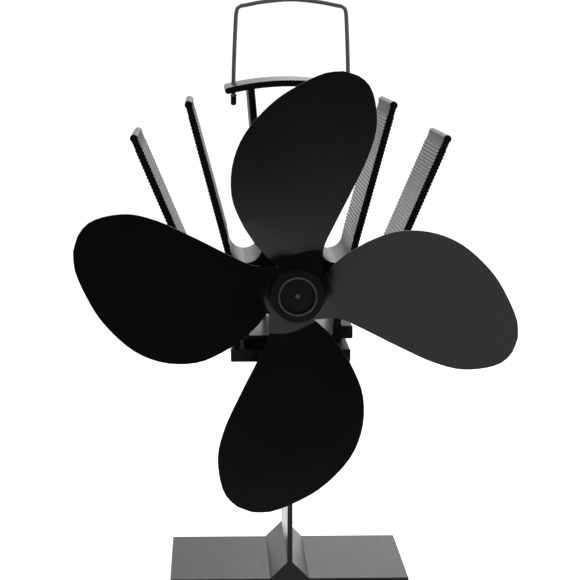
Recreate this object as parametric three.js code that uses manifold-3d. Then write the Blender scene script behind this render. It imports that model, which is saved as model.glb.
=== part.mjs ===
// A heat-powered stove fan: a black aluminium stand that takes heat from the stove top, a thermoelectric
// module clamped on it, a crown-shaped heat sink that holds a small motor, and a four-bladed fan.
//
// Millimetres, +Z up. X runs across the front and -Y faces the room. The origin is the middle of the
// foot's underside, which rests on the stove.
import * as THREE from 'three';
import { mergeVertices } from 'three/addons/utils/BufferGeometryUtils.js';
import Module from 'manifold-3d';

const wasm = await Module();
wasm.setup();

// Clearances
const fitGap = 0.3;
const slipGap = 0.2;
const cutOver = 1;
const mergeReach = 1e-4;

// The stand: one extrusion with a foot plate, a web on a gusset, and the hot plate on top
const standDepth = 64.6;
const footWidth = 99;
const footThickness = 3;
const edgeRound = 0.5;
const gussetFoot = 16.2;
const gussetHeight = 7;
const webThickness = 2.1;
const hotPlateWidth = 48.8;
const hotPlateThickness = 5.1;
const hotPlateTop = 99.5;
const webFillet = 1.6;

// The module and the foils on its two faces
const moduleSide = 38;
const ceramicThickness = 0.8;
const pelletHeight = 1.6;
const foilThickness = 0.3;
const sealThickness = 1.3;
const pelletPitch = 6.6;
const pelletSlot = 1.7;
const pelletBridge = 0.4;
const pelletRows = 5;

// The heat sink: one extrusion, so each feature here is a size of its section
const sinkDepth = 51.3;
const sinkFront = -28.4;
const flangeWidth = 51;
const flangeThickness = 5.2;
const neckWidth = 41.5;
const neckWall = 3.2;
const neckRise = 4.6;
const wingDrop = 62.5;
const footFillet = 1;
const outerTipX = 63.3;
const outerTipZ = 185;
const outerLean = 23.1;
const outerThickness = 2.6;
const innerTipX = 41.3;
const innerTipZ = 198.5;
const innerLean = 15;
const innerThickness = 2.5;
const bulbRadius = 1.6;
const ribPitch = 1.45;
const ribDepth = 0.3;
const ribFree = 3;
const outerValleyZ = 131.6;
const innerValleyZ = 141;
const legTopX = 16.1;
const legTopZ = 204;
const legLean = 5.2;
const legThickness = 2.7;
const archTop = 208.5;
const archRadius = 105;
const archThickness = 2.5;
const archEndX = 25.4;
const windowFloor = 144.5;
const windowRound = 2.2;
const channelRound = 0.8;
const channelFloor = 1.4;
const seatBlock = 8.6;
const channelShare = 0.85;

// The motor and its seat
const motorX = 1.6;
const motorZ = 124.8;
const motorRadius = 12.2;
const motorLength = 30.8;
const motorFront = -36;
const seatWall = 3.2;
const canWall = 0.8;
const noseRadius = 3.1;
const noseLength = 1.6;
const bushRadius = 2.2;
const bushLength = 2.6;
const shaftRadius = 1;
const capThickness = 2.4;
const capLip = 0.9;
const capBoss = 3.4;
const magnetLength = 19;
const magnetThickness = 2.2;
const magnetSpan = 124;
const armatureLength = 13;
const poleGap = 0.5;
const poleFace = 1.9;
const poleFaceSpan = 92;
const poleNeck = 2.4;
const armatureHub = 2.9;
const coilThickness = 1.1;
const commutatorRadius = 2.3;
const commutatorLength = 4.2;
const commutatorSlot = 0.4;
const terminalWidth = 2.2;
const terminalThickness = 0.4;
const terminalReach = 4.4;
const terminalOffset = 6.6;
const terminalEye = 0.5;
const setScrewRadius = 1.5;
const setScrewLength = 6;
const setScrewHex = 0.75;
const setScrewHexDepth = 1.6;
const setScrewY = -12;

// The fan: a domed sheet whose blades lie forward of a plane through the foot of the dome
const fanRadius = 90;
const sheetThickness = 0.8;
const bladePlane = -44.1;
const restTurn = -3;
const domeRadius = 11;
const domeHeight = 3.75;
const domeShare = 0.56;
const notchRadius = 12.6;
const armHalfWidth = 10.2;
const pitchShare = 0.294;
const coneShare = 0.132;
const rampPitchShare = 0.153;
const rampConeShare = 0.39;
const rampSetback = 3;
const creaseRound = 0.5;
const rampRound = 1.6;
const rootShare = 0.2;
const creaseLimitShare = 0.7;
const bossRadius = 10.8;
const bossFront = -55.7;
const bossShoulder = 0.35;
const bossRecessRadius = 6.8;
const bossRecessDepth = 0.9;
const bossBeadWidth = 1.2;
const bossBeadHeight = 0.45;
const beadShares = [[0, 0], [0.15, 0.75], [0.38, 1], [0.62, 1], [0.85, 0.75], [1, 0]];
const collarRadius = 7;
const collarLength = 7.4;
const collarRimShare = 0.33;
const collarTaperShare = 0.5;
const hubBoreWall = 2.4;
const shaftProud = 0.2;
// Points of one blade's two edges, along the blade and across it, in shares of the fan's radius
const leadingShares = [[0.2, 0.11], [0.31, 0.152], [0.463, 0.219], [0.642, 0.289], [0.77, 0.31],
  [0.918, 0.273], [0.968, 0.218], [0.9875, 0.144]];
const trailingShares = [[0.172, -0.157], [0.236, -0.215], [0.312, -0.264], [0.412, -0.309], [0.534, -0.319],
  [0.643, -0.296], [0.734, -0.248], [0.847, -0.148], [0.913, -0.057], [0.977, 0.068], [0.9875, 0.144]];

// The carry handle
const wireRadius = 0.85;
const handleMiddle = 0.9;
const handleTop = 240.7;
const handleCrown = 2.6;
const handleReach = 23.8;
const handleLean = 1.1;
const handleCorner = 3;
const cornerShares = [[0.08, 0.5], [0.45, 0.92], [1, 1.02]];
const crownShare = 0.4;
const handleHole = 1.05;
const handlePlay = 0.9;
const stopRadius = 1.15;
const stopLength = 3.7;
const stopGrip = 1.7;
const ferruleRadius = 1.3;
const ferruleThickness = 0.8;

// The clamp screws between the two aluminium bodies
const clampX = 21.6;
const clampShank = 1.5;
const clampHead = 2.5;
const clampHeadHeight = 2.2;
const clampSlot = 0.7;
const clampSlotDepth = 0.9;
const clampBite = 4.6;
const insulatorFlange = 0.9;
const insulatorSleeve = 2.1;
const springWasher = 0.7;
const springDish = 0.25;

// The module's leads
const leadRadius = 0.8;
const leadSpread = 9;
const leadBack = 27.5;
const leadLanding = 7;

// Facets round a full turn
const fineTurn = 40;
const roundTurn = 32;
const smallTurn = 16;
const commutatorTurn = 24;
const eyeTurn = 10;
const leadSides = 8;
const leadSteps = 24;
const wireSides = 8;
const handleSteps = 64;
const bladeColumns = 8;
const edgeSteps = 24;
// Where the rows of a blade's root lie, in shares of the way to its crease and of the way on from it
const rowShares = [0.5, 1];
const rootRowShares = [0.08, 0.3, 0.6, 1];
const arcStep = 18;
const arcChord = 4.5;

// Places that follow from the sizes
const half = (size) => size / 2;
const radians = THREE.MathUtils.degToRad;
const standFront = -half(standDepth);
const sinkBack = sinkFront + sinkDepth;
const middleY = half(sinkFront + sinkBack);
const moduleHeight = 2 * ceramicThickness + pelletHeight;
const ceramicSide = moduleSide - 2 * sealThickness;
const moduleFloor = hotPlateTop + foilThickness;
const sinkFloor = moduleFloor + moduleHeight + foilThickness;
const flangeTop = sinkFloor + flangeThickness;
const seatRadius = motorRadius + slipGap;
const seatOuter = seatRadius + seatWall;
const motorBack = motorFront + motorLength;

// Finishes
const finish = (color, roughness, metalness) => (
  new THREE.MeshStandardMaterial({ color, roughness, metalness }));
const blackAluminium = () => finish(0x1a1a1b, 0.45, 0.6);
const blackSheet = () => finish(0x161617, 0.4, 0.5);
const blackPlastic = () => finish(0x121214, 0.5, 0);
const blackSteel = () => finish(0x2a2a2c, 0.4, 0.8);
const brightSteel = () => finish(0xb9bbbd, 0.3, 1);
const ceramicWhite = () => finish(0xe9e7e0, 0.6, 0);
const graphite = () => finish(0x3a3b3d, 0.7, 0.2);
const copper = () => finish(0xb46a3c, 0.35, 1);
const brass = () => finish(0xb89a54, 0.35, 1);
const magnetGrey = () => finish(0x4a4744, 0.7, 0.2);
const rubberBlack = () => finish(0x0f0f10, 0.8, 0);
const leadRed = () => finish(0xa81c1c, 0.5, 0);
const leadBlack = () => finish(0x101012, 0.5, 0);
const fibreBrown = () => finish(0x8a6a45, 0.8, 0);

const fan = new THREE.Group();
const place = (name, geometry, material) => {
  const mesh = new THREE.Mesh(geometry, material);
  mesh.name = name;
  fan.add(mesh);
  return mesh;
};

// Closed meshes with shared corners and faces that point out

function signedVolume(geometry) {
  const at = geometry.attributes.position;
  const index = geometry.index.array;
  const [a, b, c] = [new THREE.Vector3(), new THREE.Vector3(), new THREE.Vector3()];
  let sum = 0;
  for (let i = 0; i < index.length; i += 3) {
    a.fromBufferAttribute(at, index[i]);
    b.fromBufferAttribute(at, index[i + 1]);
    c.fromBufferAttribute(at, index[i + 2]);
    sum += a.dot(b.cross(c));
  }
  return sum;
}

function closed(source) {
  const bare = source.clone();
  for (const name of Object.keys(bare.attributes)) {
    if (name !== 'position') bare.deleteAttribute(name);
  }
  const geometry = mergeVertices(bare, mergeReach);
  const index = geometry.index.array;
  const kept = [];
  for (let i = 0; i < index.length; i += 3) {
    const [a, b, c] = [index[i], index[i + 1], index[i + 2]];
    if (a !== b && b !== c && c !== a) kept.push(a, b, c);
  }
  geometry.setIndex(kept);
  if (signedVolume(geometry) < 0) {
    for (let i = 0; i < kept.length; i += 3) [kept[i], kept[i + 1]] = [kept[i + 1], kept[i]];
    geometry.setIndex(kept);
  }
  return geometry;
}

function solid(source) {
  const geometry = closed(source);
  return new wasm.Manifold(new wasm.Mesh({
    numProp: 3,
    vertProperties: new Float32Array(geometry.attributes.position.array),
    triVerts: new Uint32Array(geometry.index.array),
  }));
}

function surface(body) {
  const mesh = body.getMesh();
  const geometry = new THREE.BufferGeometry();
  geometry.setAttribute('position', new THREE.BufferAttribute(new Float32Array(mesh.vertProperties), 3));
  geometry.setIndex([...mesh.triVerts]);
  return geometry;
}

function cut(source, tools) {
  return surface(tools.map(solid).reduce((body, tool) => body.subtract(tool), solid(source)));
}

// Shapes that the pieces are made of

function arc(x, z, radius, from, to) {
  const sweep = Math.abs(to - from);
  const steps = Math.max(2, Math.ceil(sweep / arcStep), Math.ceil(radius * radians(sweep) / arcChord));
  return Array.from({ length: steps + 1 }, (_, i) => {
    const angle = radians(THREE.MathUtils.lerp(from, to, i / steps));
    return new THREE.Vector2(x + radius * Math.cos(angle), z + radius * Math.sin(angle));
  });
}

function circle(x, z, radius, turn = roundTurn) {
  return Array.from({ length: turn }, (_, i) => {
    const angle = 2 * Math.PI * i / turn;
    return new THREE.Vector2(x + radius * Math.cos(angle), z + radius * Math.sin(angle));
  });
}

// A section in X and Z, pushed back along Y from its front
function extruded(outline, front, depth) {
  const shape = new THREE.Shape(outline);
  const geometry = new THREE.ExtrudeGeometry(shape, { depth, bevelEnabled: false });
  return geometry.rotateX(Math.PI / 2).translate(0, front + depth, 0);
}

function box(x0, x1, y0, y1, z0, z1) {
  const block = new THREE.BoxGeometry(x1 - x0, y1 - y0, z1 - z0);
  return block.translate(half(x0 + x1), half(y0 + y1), half(z0 + z1));
}

// A profile of radius and Y, turned about the motor's axis
function turnedOnMotor(profile, turn = roundTurn) {
  const points = profile.map(([radius, y]) => new THREE.Vector2(radius, y));
  return closed(new THREE.LatheGeometry(points, turn)).translate(motorX, 0, motorZ);
}

// A profile of radius and Z, turned about an upright axis
function turnedUpright(x, y, profile, turn = smallTurn) {
  const points = profile.map(([radius, z]) => new THREE.Vector2(radius, z));
  return closed(new THREE.LatheGeometry(points, turn)).rotateX(Math.PI / 2).translate(x, y, 0);
}

function ringProfile(inner, outer, from, to) {
  return [[inner, from], [outer, from], [outer, to], [inner, to], [inner, from]];
}

function rodProfile(radius, from, to) {
  return [[0, from], [radius, from], [radius, to], [0, to]];
}

function mirrored(points) {
  return points.map((point) => new THREE.Vector2(-point.x, point.y)).reverse();
}

// The stand

function standOutline() {
  const [foot, hot, web, gusset] = [footWidth, hotPlateWidth, webThickness, gussetFoot].map(half);
  const hotFloor = hotPlateTop - hotPlateThickness;
  const right = [
    new THREE.Vector2(foot, 0),
    ...arc(foot - edgeRound, footThickness - edgeRound, edgeRound, 0, 90),
    new THREE.Vector2(gusset, footThickness),
    new THREE.Vector2(web, footThickness + gussetHeight),
    ...arc(web + webFillet, hotFloor - webFillet, webFillet, 180, 90),
    ...arc(hot - edgeRound, hotFloor + edgeRound, edgeRound, -90, 0),
    ...arc(hot - edgeRound, hotPlateTop - edgeRound, edgeRound, 0, 90),
  ];
  return [...right, ...mirrored(right)];
}

function clampSides(make) {
  make('left', -clampX);
  make('right', clampX);
}

const standHoles = [];
clampSides((side, x) => standHoles.push(turnedUpright(x, middleY, rodProfile(
  insulatorSleeve + fitGap, hotPlateTop - hotPlateThickness - cutOver, hotPlateTop + cutOver))));
place('base_stand', cut(extruded(standOutline(), standFront, standDepth), standHoles), blackAluminium());

// The thermoelectric module between its two foils

function squarePlate(side, floor, thickness) {
  const reach = half(side);
  return box(-reach, reach, middleY - reach, middleY + reach, floor, floor + thickness);
}

function pelletBlock(floor) {
  const side = pelletRows * pelletPitch - pelletSlot;
  const reach = half(side) + cutOver;
  const slots = [];
  for (let i = 1; i < pelletRows; i += 1) {
    const at = (i - half(pelletRows)) * pelletPitch;
    const low = floor + pelletBridge;
    const high = floor + pelletHeight + cutOver;
    const [near, far] = [at - half(pelletSlot), at + half(pelletSlot)];
    slots.push(box(near, far, middleY - reach, middleY + reach, low, high));
    slots.push(box(-reach, reach, middleY + near, middleY + far, low, high));
  }
  return cut(squarePlate(side, floor, pelletHeight), slots);
}

function moduleSeal() {
  const inner = half(ceramicSide);
  const [low, high] = [moduleFloor - cutOver, moduleFloor + moduleHeight + cutOver];
  const hole = box(-inner, inner, middleY - inner, middleY + inner, low, high);
  return cut(squarePlate(moduleSide, moduleFloor, moduleHeight), [hole]);
}

const pelletFloor = moduleFloor + ceramicThickness;
place('foil_hot_side', squarePlate(moduleSide, hotPlateTop, foilThickness), graphite());
place('module_hot_ceramic', squarePlate(ceramicSide, moduleFloor, ceramicThickness), ceramicWhite());
place('module_pellets', pelletBlock(pelletFloor), brightSteel());
place('module_seal', moduleSeal(), rubberBlack());
const coldFloor = pelletFloor + pelletHeight;
place('module_cold_ceramic', squarePlate(ceramicSide, coldFloor, ceramicThickness), ceramicWhite());
place('foil_cold_side', squarePlate(moduleSide, coldFloor + ceramicThickness, foilThickness), graphite());

// The heat sink's section

// A ribbed face from one point to another, with the ribs standing to its right
function ribbed(from, to) {
  const along = to.clone().sub(from);
  const length = along.length();
  along.normalize();
  const out = new THREE.Vector2(along.y, -along.x).multiplyScalar(ribDepth);
  const count = Math.floor((length - 2 * ribFree) / ribPitch);
  const start = half(length - count * ribPitch);
  const points = [from.clone()];
  for (let i = 0; i < count; i += 1) {
    const low = from.clone().addScaledVector(along, start + i * ribPitch);
    points.push(low, low.clone().addScaledVector(along, half(ribPitch)).add(out));
  }
  points.push(from.clone().addScaledVector(along, start + count * ribPitch), to.clone());
  return points;
}

// A round floor between the feet of two upright faces, from the outer one to the inner one
function valley(from, to) {
  const middle = half(from.x + to.x);
  return arc(middle, from.y, half(from.x - to.x), 0, -180).slice(1, -1);
}

// One fin of the right half, from the foot of its outer face round the bulb to the foot of its inner face
function fin(tipX, tipZ, lean, thickness, outerFootZ, innerFootZ) {
  const up = new THREE.Vector2(Math.sin(radians(lean)), Math.cos(radians(lean)));
  const side = new THREE.Vector2(up.y, -up.x);
  const tip = new THREE.Vector2(tipX, tipZ);
  const neck = Math.sqrt(bulbRadius ** 2 - half(thickness) ** 2);
  const open = THREE.MathUtils.radToDeg(Math.atan2(neck, half(thickness)));
  const face = (offset, z) => {
    const root = tip.clone().addScaledVector(side, offset);
    return root.addScaledVector(up, (z - root.y) / up.y);
  };
  const shoulder = (offset) => tip.clone().addScaledVector(side, offset).addScaledVector(up, -neck);
  return [
    ...ribbed(face(half(thickness), outerFootZ), shoulder(half(thickness))),
    ...arc(tipX, tipZ, bulbRadius, -open - lean, 180 + open - lean).slice(1, -1),
    ...ribbed(shoulder(-half(thickness)), face(-half(thickness), innerFootZ)),
  ];
}

// The legs lean out as they rise, and carry the arched top plate
const legX = (z) => legTopX - (legTopZ - z) * Math.tan(radians(legLean));
const archCentre = archTop - archRadius;
const archZ = (x, radius) => archCentre + Math.sqrt(radius ** 2 - x ** 2);

function topPlate() {
  const inner = archRadius - archThickness;
  const middle = archRadius - half(archThickness);
  const spread = THREE.MathUtils.radToDeg(Math.asin(archEndX / middle));
  const under = 90 - THREE.MathUtils.radToDeg(Math.asin((legX(legTopZ) + half(legThickness)) / inner));
  return [
    ...arc(0, archCentre, inner, under, 90 - spread),
    ...arc(archEndX, archZ(archEndX, middle), half(archThickness), -90 - spread, 90 - spread).slice(1, -1),
    ...arc(0, archCentre, archRadius, 90 - spread, 90),
  ];
}

function sinkOutline() {
  const [flange, neck] = [flangeWidth, neckWidth].map(half);
  const outerFin = fin(outerTipX, outerTipZ, outerLean, outerThickness, outerTipZ - wingDrop, outerValleyZ);
  const innerFin = fin(innerTipX, innerTipZ, innerLean, innerThickness, outerValleyZ, innerValleyZ);
  const legFoot = new THREE.Vector2(legX(innerValleyZ) + half(legThickness), innerValleyZ);
  const right = [
    ...arc(flange - edgeRound, sinkFloor + edgeRound, edgeRound, -90, 0),
    ...arc(flange - edgeRound, flangeTop - edgeRound, edgeRound, 0, 90),
    ...arc(neck + footFillet, flangeTop + footFillet, footFillet, -90, -180),
    new THREE.Vector2(neck, flangeTop + neckRise),
    ...outerFin,
    ...valley(outerFin.at(-1), innerFin[0]),
    ...innerFin,
    ...valley(innerFin.at(-1), legFoot),
    legFoot,
    ...topPlate(),
  ];
  return [...right, ...mirrored(right.slice(0, -1))];
}

// The opening between the legs, under the top plate
function windowOutline() {
  const reach = (z) => legX(z) - half(legThickness);
  const top = archRadius - archThickness;
  const topReach = reach(legTopZ);
  const topAngle = 90 - THREE.MathUtils.radToDeg(Math.asin(topReach / top));
  const right = [
    ...arc(reach(windowFloor) - windowRound, windowFloor + windowRound, windowRound, -90, 0),
    ...arc(0, archCentre, top, topAngle, 90),
  ];
  return [...right, ...mirrored(right.slice(0, -1))];
}

// The channel between the block under the motor's seat and the neck's wall, on one side of the middle
function channelOutline(sign) {
  const wall = sign * (half(neckWidth) - neckWall);
  const floor = sinkFloor + channelFloor;
  const lowAngle = THREE.MathUtils.radToDeg(Math.asin((seatBlock - sign * motorX) / seatOuter));
  const highReach = Math.min(sign * (wall - motorX) - channelRound, seatOuter * channelShare);
  const highAngle = THREE.MathUtils.radToDeg(Math.asin(highReach / seatOuter));
  const curve = arc(motorX, motorZ, seatOuter, sign * lowAngle - 90, sign * highAngle - 90);
  return [
    ...curve,
    new THREE.Vector2(wall, curve.at(-1).y),
    new THREE.Vector2(wall, floor + channelRound),
    new THREE.Vector2(wall - sign * channelRound, floor),
    new THREE.Vector2(curve[0].x, floor),
  ];
}

// The handle's legs stand to the left and right of its own middle
function handleLegX(sign, reach) {
  return handleMiddle + sign * reach;
}

function heatSink() {
  const through = (outline) => extruded(outline, sinkFront - cutOver, sinkDepth + 2 * cutOver);
  const tools = [through(windowOutline()), through(circle(motorX, motorZ, seatRadius, fineTurn))];
  for (const sign of [-1, 1]) {
    tools.push(through(channelOutline(sign)));
    const [low, high] = [legTopZ - archThickness, archTop + cutOver];
    const ends = [handleLegX(sign, handleReach - handleLean), handleLegX(sign, handleReach)];
    for (const x of ends) {
      tools.push(turnedUpright(x, middleY, rodProfile(handleHole, low, high)));
    }
    tools.push(box(
      Math.min(...ends), Math.max(...ends), middleY - handleHole, middleY + handleHole, low, high));
    tools.push(turnedUpright(sign * clampX, middleY, rodProfile(
      clampShank + slipGap, sinkFloor - cutOver, sinkFloor + clampBite + fitGap)));
  }
  tools.push(turnedUpright(motorX, setScrewY, rodProfile(
    setScrewRadius + slipGap, motorZ, windowFloor + cutOver)));
  return cut(extruded(sinkOutline(), sinkFront, sinkDepth), tools);
}

place('heat_sink', heatSink(), blackAluminium());

// The motor

function motorCan() {
  const inner = motorRadius - canWall;
  const front = motorFront;
  return turnedOnMotor([
    [bushRadius + slipGap, front - noseLength], [noseRadius, front - noseLength], [noseRadius, front],
    [motorRadius - edgeRound, front], [motorRadius, front + edgeRound], [motorRadius, motorBack],
    [inner, motorBack], [inner, front + canWall], [bushRadius + slipGap, front + canWall],
    [bushRadius + slipGap, front - noseLength],
  ], fineTurn);
}

function motorEndCap() {
  const lip = motorRadius - canWall - slipGap;
  const inside = motorBack - capThickness;
  const body = turnedOnMotor([
    [bushRadius + slipGap, inside - capLip], [capBoss, inside - capLip], [capBoss, inside], [lip, inside],
    [lip, motorBack], [bushRadius + slipGap, motorBack], [bushRadius + slipGap, inside - capLip],
  ], fineTurn);
  const slots = [-1, 1].map((sign) => terminalSlot(sign));
  return cut(body, slots);
}

function terminalSlot(sign) {
  const x = motorX + sign * terminalOffset;
  const reach = half(terminalThickness) + slipGap;
  const tall = half(terminalWidth) + slipGap;
  return box(x - reach, x + reach, motorBack - capThickness - cutOver, motorBack + cutOver,
    motorZ - tall, motorZ + tall);
}

// A brush spring inside the cap, carried through its slot as a solder tag with an eye
function terminal(sign) {
  const at = (across, y) => new THREE.Vector2(motorX + sign * across, y);
  const thin = terminalThickness;
  const [inside, outside] = [motorBack - capThickness - capLip, motorBack + terminalReach];
  const tip = inside - half(commutatorLength);
  const near = commutatorRadius + slipGap;
  const edge = terminalOffset + half(thin);
  const outline = [at(edge, outside), at(edge - thin, outside), at(edge - thin, inside), at(near, tip),
    at(near + thin, tip - thin), at(edge, inside - thin)];
  const shape = new THREE.Shape(outline);
  const strip = new THREE.ExtrudeGeometry(shape, { depth: terminalWidth, bevelEnabled: false });
  strip.translate(0, 0, motorZ - half(terminalWidth));
  const eye = new THREE.CylinderGeometry(terminalEye, terminalEye, thin + 2 * cutOver, eyeTurn);
  eye.rotateZ(Math.PI / 2).translate(motorX + sign * terminalOffset, outside - 2 * terminalEye, motorZ);
  return cut(strip, [eye]);
}

function magnet(sign) {
  const outer = motorRadius - canWall - slipGap;
  const inner = outer - magnetThickness;
  const [from, to] = [90 * sign - half(magnetSpan), 90 * sign + half(magnetSpan)];
  const outline = [...arc(motorX, motorZ, outer, from, to), ...arc(motorX, motorZ, inner, to, from)];
  return extruded(outline, motorFront + canWall + fitGap, magnetLength);
}

const armatureRadius = motorRadius - canWall - slipGap - magnetThickness - poleGap;
const armatureFront = motorFront + canWall + half(magnetLength - armatureLength);

// A three-pole stack: round hub, three necks, and a curved face on each
function armature() {
  const outline = [];
  for (let pole = 0; pole < 3; pole += 1) {
    const middle = 90 + 360 * pole / 3;
    const aim = (radius, side) => {
      const angle = radians(middle);
      const [c, s] = [Math.cos(angle), Math.sin(angle)];
      return new THREE.Vector2(motorX + radius * c - side * s, motorZ + radius * s + side * c);
    };
    const under = armatureRadius - poleFace;
    const neck = half(poleNeck);
    const faceSpan = half(poleFaceSpan);
    outline.push(aim(armatureHub, -neck), aim(under, -neck));
    outline.push(...arc(motorX, motorZ, armatureRadius, middle - faceSpan, middle + faceSpan));
    outline.push(aim(under, neck), aim(armatureHub, neck));
  }
  const bore = turnedOnMotor(rodProfile(shaftRadius + slipGap, armatureFront - cutOver,
    armatureFront + armatureLength + cutOver));
  return cut(extruded(outline, armatureFront, armatureLength), [bore]);
}

// One coil: a square-cornered ring wound round a pole's neck
function coil(pole) {
  const inner = half(poleNeck) + fitGap;
  const outer = inner + coilThickness;
  const [front, back] = [armatureFront - fitGap, armatureFront + armatureLength + fitGap];
  const low = armatureHub + fitGap;
  const high = armatureRadius - poleFace - 2 * fitGap;
  const ring = cut(
    box(-outer, outer, front - coilThickness, back + coilThickness, low, high),
    [box(-inner, inner, front, back, low - cutOver, high + cutOver)],
  );
  return ring.rotateY(-radians(360 * pole / 3)).translate(motorX, 0, motorZ);
}

const commutatorFront = motorBack - capThickness - capLip - commutatorLength - fitGap;

function commutator() {
  const front = commutatorFront;
  const back = front + commutatorLength;
  const profile = ringProfile(shaftRadius + slipGap, commutatorRadius, front, back);
  const ring = turnedOnMotor(profile, commutatorTurn);
  const slots = [0, 1, 2].map((i) => {
    const slot = box(-half(commutatorSlot), half(commutatorSlot), front - cutOver, back - commutatorSlot,
      half(shaftRadius + commutatorRadius), commutatorRadius + cutOver);
    return slot.rotateY(radians(360 * i / 3 + 60)).translate(motorX, 0, motorZ);
  });
  return cut(ring, slots);
}

const bushBore = shaftRadius + half(slipGap);
const bushProfile = (front) => ringProfile(bushBore, bushRadius, front, front + bushLength);
const shaftBack = motorBack - half(slipGap);
const boreFloor = bossFront + bossRecessDepth;

place('motor_can', motorCan(), brightSteel());
place('motor_end_cap', motorEndCap(), blackPlastic());
place('motor_front_bush', turnedOnMotor(bushProfile(motorFront - noseLength)), brass());
place('motor_rear_bush', turnedOnMotor(bushProfile(motorBack - bushLength)), brass());
place('motor_magnet_upper', magnet(1), magnetGrey());
place('motor_magnet_lower', magnet(-1), magnetGrey());
place('motor_terminal_left', terminal(-1), brass());
place('motor_terminal_right', terminal(1), brass());
const shaftProfile = rodProfile(shaftRadius, boreFloor - shaftProud, shaftBack);
place('motor_shaft', turnedOnMotor(shaftProfile), brightSteel());
place('motor_armature', armature(), magnetGrey());
for (const pole of [0, 1, 2]) place(`motor_coil_${pole + 1}`, coil(pole), copper());
place('motor_commutator', commutator(), copper());

// The screw that holds the motor in its seat, with a hexagon socket in its upper end
function setScrew() {
  const foot = motorZ + seatRadius - slipGap;
  const socket = setScrewHexDepth;
  const screw = turnedUpright(motorX, setScrewY, rodProfile(setScrewRadius, foot, foot + setScrewLength));
  const key = new THREE.CylinderGeometry(setScrewHex, setScrewHex, socket + cutOver, 6);
  key.rotateX(Math.PI / 2).translate(motorX, setScrewY, foot + setScrewLength - half(socket - cutOver));
  return cut(screw, [key]);
}

place('motor_set_screw', setScrew(), blackSteel());

// The fan: one sheet with a dome pressed in its middle and four blades, each bent at its root

const edgePoint = ([u, w]) => new THREE.Vector3(u * fanRadius, w * fanRadius, 0);
const armStart = Math.sqrt(notchRadius ** 2 - armHalfWidth ** 2);
const leadAngle = Math.atan2(armHalfWidth, armStart);
const trailAngle = leadAngle - half(Math.PI);
const leadStart = new THREE.Vector3(armStart, armHalfWidth, 0);
const trailStart = new THREE.Vector3(armHalfWidth, -armStart, 0);
const edgeCurve = (first, shares) => (
  new THREE.CatmullRomCurve3([first, ...shares.map(edgePoint)], false, 'centripetal'));
const leadingCurve = edgeCurve(leadStart, leadingShares);
const trailingCurve = edgeCurve(trailStart, trailingShares);

// A crease between two surfaces, rounded over a short way
const upper = (a, b, round) => half(a + b + Math.hypot(a - b, round));
const lower = (a, b, round) => half(a + b - Math.hypot(a - b, round));
const dome = (radius) => domeHeight - domeShare * (radius - domeRadius);

function bladeRise(u, w) {
  const blade = coneShare * u - pitchShare * w;
  const ramp = rampConeShare * u - rampPitchShare * w - rampSetback;
  return lower(blade, ramp, rampRound);
}

// How far forward of the blade plane a point of the sheet lies; u runs along the blade and w across it
function rise(u, w) {
  const radius = Math.hypot(u, w);
  if (radius <= domeRadius) return domeHeight;
  if (radius <= notchRadius + mergeReach) return dome(radius);
  return upper(dome(radius), bladeRise(u, w), creaseRound);
}

// A point of the blade, at a share of the way along its two edges and a share of the way across
function bladePoint(along, across) {
  const lead = leadingCurve.getPointAt(along);
  const trail = trailingCurve.getPointAt(along);
  const radius = THREE.MathUtils.lerp(Math.hypot(lead.x, lead.y), Math.hypot(trail.x, trail.y), across);
  const angle = THREE.MathUtils.lerp(Math.atan2(lead.y, lead.x), Math.atan2(trail.y, trail.x), across);
  return [radius * Math.cos(angle), radius * Math.sin(angle)];
}

// The share along the blade at which a column crosses from the dome to the blade
function creaseShare(across) {
  let [low, high] = [0, rootShare];
  while (high - low > mergeReach) {
    const middle = half(low + high);
    const [u, w] = bladePoint(middle, across);
    if (dome(Math.hypot(u, w)) > bladeRise(u, w)) low = middle;
    else high = middle;
  }
  return Math.min(low, rootShare * creaseLimitShare);
}

// One quarter's rows of points: on the bore, the dome's edge and the notch, then out to the blade's root
function quarterRows() {
  const columns = Array.from({ length: bladeColumns + 1 }, (_, column) => column / bladeColumns);
  const circleRow = (radius) => columns.map((across) => {
    const angle = THREE.MathUtils.lerp(leadAngle, trailAngle, across);
    return [radius * Math.cos(angle), radius * Math.sin(angle)];
  });
  const rows = [shaftRadius + slipGap, domeRadius, notchRadius].map(circleRow);
  const creases = columns.map(creaseShare);
  for (const share of rowShares) {
    rows.push(columns.map((across, column) => bladePoint(creases[column] * share, across)));
  }
  for (const share of rootRowShares) {
    rows.push(columns.map((across, column) => (
      bladePoint(THREE.MathUtils.lerp(creases[column], rootShare, share), across))));
  }
  return rows;
}

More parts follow.
